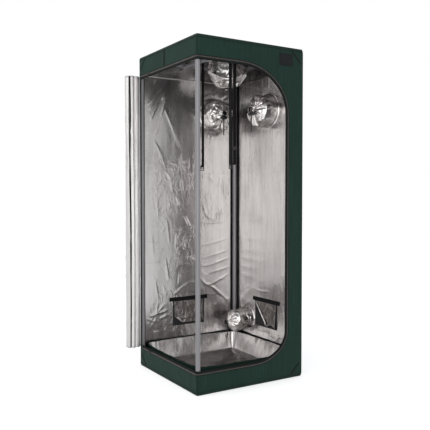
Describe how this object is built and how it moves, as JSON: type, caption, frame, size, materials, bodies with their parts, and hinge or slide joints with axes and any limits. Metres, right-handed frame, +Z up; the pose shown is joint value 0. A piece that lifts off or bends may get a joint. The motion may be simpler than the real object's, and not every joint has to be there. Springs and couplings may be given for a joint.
{
  "type": "indoor grow tent",
  "caption": "Upright indoor grow tent with a tube frame under sewn cloth, an unzipped wrap-round door, duct sleeves, flap vents, a hanging bar with straps and a floor tray.",
  "frame": {"origin": "middle of the floor panel's underside, on the ground", "axes": "+Z up, -Y towards the zipped front face, -X towards the open side doorway"},
  "size_m": [0.6799, 0.622, 1.6],
  "materials": {
    "pole_front_left": "white powder coat",
    "pole_front_right": "white powder coat",
    "pole_back_left": "white powder coat",
    "pole_back_right": "white powder coat",
    "floor_bar_left": "white powder coat",
    "floor_bar_right": "white powder coat",
    "floor_bar_front": "white powder coat",
    "floor_bar_back": "white powder coat",
    "roof_bar_left": "white powder coat",
    "roof_bar_right": "white powder coat",
    "roof_bar_front": "white powder coat",
    "roof_bar_back": "white powder coat",
    "corner_floor_front_left": "moulded",
    "corner_floor_front_right": "moulded",
    "corner_floor_back_left": "moulded",
    "corner_floor_back_right": "moulded",
    "corner_roof_front_left": "moulded",
    "corner_roof_front_right": "moulded",
    "corner_roof_back_left": "moulded",
    "corner_roof_back_right": "moulded",
    "hanging_bar": "white powder coat",
    "roof_panel": "coated oxford cloth outside, silver film inside",
    "floor_panel": "coated oxford cloth outside, silver film inside",
    "front_panel": "coated oxford cloth outside, silver film inside",
    "right_wall": "coated oxford cloth outside, silver film inside",
    "back_wall": "coated oxford cloth outside, silver film inside",
    "left_top_band": "coated oxford cloth outside, silver film inside",
    "left_bottom_band": "coated oxford cloth outside, silver film inside",
    "door_bundle": "silver film laminate",
    "zip_tape": "nylon coil zip",
    "zip_slider_top": "black oxide",
    "zip_pull_top": "black oxide",
    "zip_slider_bottom": "black oxide",
    "zip_pull_bottom": "black oxide",
    "floor_tray": "silver film laminate",
    "label_patch": "woven webbing",
    "door_tie": "woven webbing",
    "back_vent_net": "fine net",
    "back_vent_flap": "silver film laminate",
    "back_hook_strip": "woven webbing",
    "right_vent_net": "fine net",
    "right_vent_flap": "silver film laminate",
    "right_hook_strip": "woven webbing",
    "roof_sleeve": "silver film laminate",
    "back_sleeve": "silver film laminate",
    "right_upper_sleeve": "silver film laminate",
    "right_lower_sleeve": "silver film laminate",
    "roof_sleeve_tie": "woven webbing",
    "hanging_strap_back": "woven webbing",
    "strap_buckle_back": "moulded",
    "hanging_strap_front": "woven webbing",
    "strap_buckle_front": "moulded",
    "strap_glide_front": "black oxide",
    "back_drawcord": "woven webbing",
    "right_drawcord": "woven webbing",
    "lower_drawcord": "woven webbing",
    "back_cord_lock": "moulded",
    "back_lock_plunger": "moulded",
    "right_cord_lock": "moulded",
    "right_lock_plunger": "moulded"
  },
  "bodies": {
    "tent": {"pole_front_left": "pole_front_left", "pole_front_right": "pole_front_right", "pole_back_left": "pole_back_left", "pole_back_right": "pole_back_right", "floor_bar_left": "floor_bar_left", "floor_bar_right": "floor_bar_right", "floor_bar_front": "floor_bar_front", "floor_bar_back": "floor_bar_back", "roof_bar_left": "roof_bar_left", "roof_bar_right": "roof_bar_right", "roof_bar_front": "roof_bar_front", "roof_bar_back": "roof_bar_back", "corner_floor_front_left": "corner_floor_front_left", "corner_floor_front_right": "corner_floor_front_right", "corner_floor_back_left": "corner_floor_back_left", "corner_floor_back_right": "corner_floor_back_right", "corner_roof_front_left": "corner_roof_front_left", "corner_roof_front_right": "corner_roof_front_right", "corner_roof_back_left": "corner_roof_back_left", "corner_roof_back_right": "corner_roof_back_right", "roof_panel": "roof_panel", "floor_panel": "floor_panel", "front_panel": "front_panel", "right_wall": "right_wall", "back_wall": "back_wall", "left_top_band": "left_top_band", "left_bottom_band": "left_bottom_band", "zip_tape": "zip_tape", "label_patch": "label_patch", "door_tie": "door_tie", "back_vent_net": "back_vent_net", "back_hook_strip": "back_hook_strip", "right_vent_net": "right_vent_net", "right_hook_strip": "right_hook_strip", "roof_sleeve": "roof_sleeve", "back_sleeve": "back_sleeve", "right_upper_sleeve": "right_upper_sleeve", "right_lower_sleeve": "right_lower_sleeve", "roof_sleeve_tie": "roof_sleeve_tie", "back_drawcord": "back_drawcord", "right_drawcord": "right_drawcord", "lower_drawcord": "lower_drawcord"},
    "hanging_bar": {"hanging_bar": "hanging_bar"},
    "strap_back": {"hanging_strap_back": "hanging_strap_back"},
    "strap_front": {"hanging_strap_front": "hanging_strap_front"},
    "buckle_back": {"strap_buckle_back": "strap_buckle_back"},
    "buckle_front": {"strap_buckle_front": "strap_buckle_front"},
    "glide_front": {"strap_glide_front": "strap_glide_front"},
    "slider_top": {"zip_slider_top": "zip_slider_top"},
    "slider_bottom": {"zip_slider_bottom": "zip_slider_bottom"},
    "pull_top": {"zip_pull_top": "zip_pull_top"},
    "pull_bottom": {"zip_pull_bottom": "zip_pull_bottom"},
    "door": {"door_bundle": "door_bundle"},
    "tray": {"floor_tray": "floor_tray"},
    "lock_back": {"back_cord_lock": "back_cord_lock"},
    "lock_right": {"right_cord_lock": "right_cord_lock"},
    "plunger_back": {"back_lock_plunger": "back_lock_plunger"},
    "plunger_right": {"right_lock_plunger": "right_lock_plunger"},
    "flap_back": {"back_vent_flap": "back_vent_flap"},
    "flap_right": {"right_vent_flap": "right_vent_flap"}
  },
  "joints": [
    {"name": "hanging_bar_slide", "type": "slide", "parent": "tent", "child": "hanging_bar", "axis": [1, 0, 0], "range_m": [-0.15, 0.03]},
    {"name": "strap_back_swing", "type": "hinge", "parent": "hanging_bar", "child": "strap_back", "pos_m": [-0.042, 0.105, 1.5773], "axis": [0, 1, 0], "range_deg": [-20, 20]},
    {"name": "strap_front_swing", "type": "hinge", "parent": "hanging_bar", "child": "strap_front", "pos_m": [-0.042, -0.191, 1.5773], "axis": [0, 1, 0], "range_deg": [-20, 20]},
    {"name": "buckle_back_swing", "type": "hinge", "parent": "strap_back", "child": "buckle_back", "pos_m": [-0.0338, 0.105, 1.04], "axis": [0, 1, 0], "range_deg": [-60, 60]},
    {"name": "buckle_front_swing", "type": "hinge", "parent": "strap_front", "child": "buckle_front", "pos_m": [-0.0502, -0.191, 1.04], "axis": [0, 1, 0], "range_deg": [-60, 60]},
    {"name": "glide_front_slide", "type": "slide", "parent": "strap_front", "child": "glide_front", "axis": [0, 0, 1], "range_m": [-0.055, 0.33]},
    {"name": "zip_slider_top_slide", "type": "slide", "parent": "tent", "child": "slider_top", "axis": [0, -1, 0], "range_m": [0, 0.44]},
    {"name": "zip_slider_bottom_slide", "type": "slide", "parent": "tent", "child": "slider_bottom", "axis": [0, -1, 0], "range_m": [0, 0.44]},
    {"name": "zip_pull_top_swing", "type": "hinge", "parent": "slider_top", "child": "pull_top", "pos_m": [-0.3092, 0.175, 1.5], "axis": [0, 1, 0], "range_deg": [0, 150]},
    {"name": "zip_pull_bottom_swing", "type": "hinge", "parent": "slider_bottom", "child": "pull_bottom", "pos_m": [-0.3092, 0.175, 0.098], "axis": [0, 1, 0], "range_deg": [0, 150]},
    {"name": "door_swing", "type": "hinge", "parent": "tent", "child": "door", "pos_m": [-0.3015, 0.277, 0.8], "axis": [0, 0, 1], "range_deg": [-20, 30]},
    {"name": "tray_lift", "type": "slide", "parent": "tent", "child": "tray", "axis": [0, 0, 1], "range_m": [0, 0.03]},
    {"name": "lock_back_slide", "type": "slide", "parent": "tent", "child": "lock_back", "axis": [0, 0, -1], "range_m": [0, 0.06]},
    {"name": "lock_right_slide", "type": "slide", "parent": "tent", "child": "lock_right", "axis": [0, 0, -1], "range_m": [0, 0.06]},
    {"name": "plunger_back_press", "type": "slide", "parent": "lock_back", "child": "plunger_back", "axis": [-1, 0, 0], "range_m": [0, 0.003], "stiffness_N_per_m": 400, "springref_m": -0.003},
    {"name": "plunger_right_press", "type": "slide", "parent": "lock_right", "child": "plunger_right", "axis": [0, -1, 0], "range_m": [0, 0.003], "stiffness_N_per_m": 400, "springref_m": -0.003},
    {"name": "flap_back_lift", "type": "hinge", "parent": "tent", "child": "flap_back", "pos_m": [-0.007, 0.2969, 0.3174], "axis": [-1, 0, 0], "range_deg": [0, 110]},
    {"name": "flap_right_lift", "type": "hinge", "parent": "tent", "child": "flap_right", "pos_m": [0.2969, 0, 0.3174], "axis": [0, 1, 0], "range_deg": [0, 110]}
  ]
}
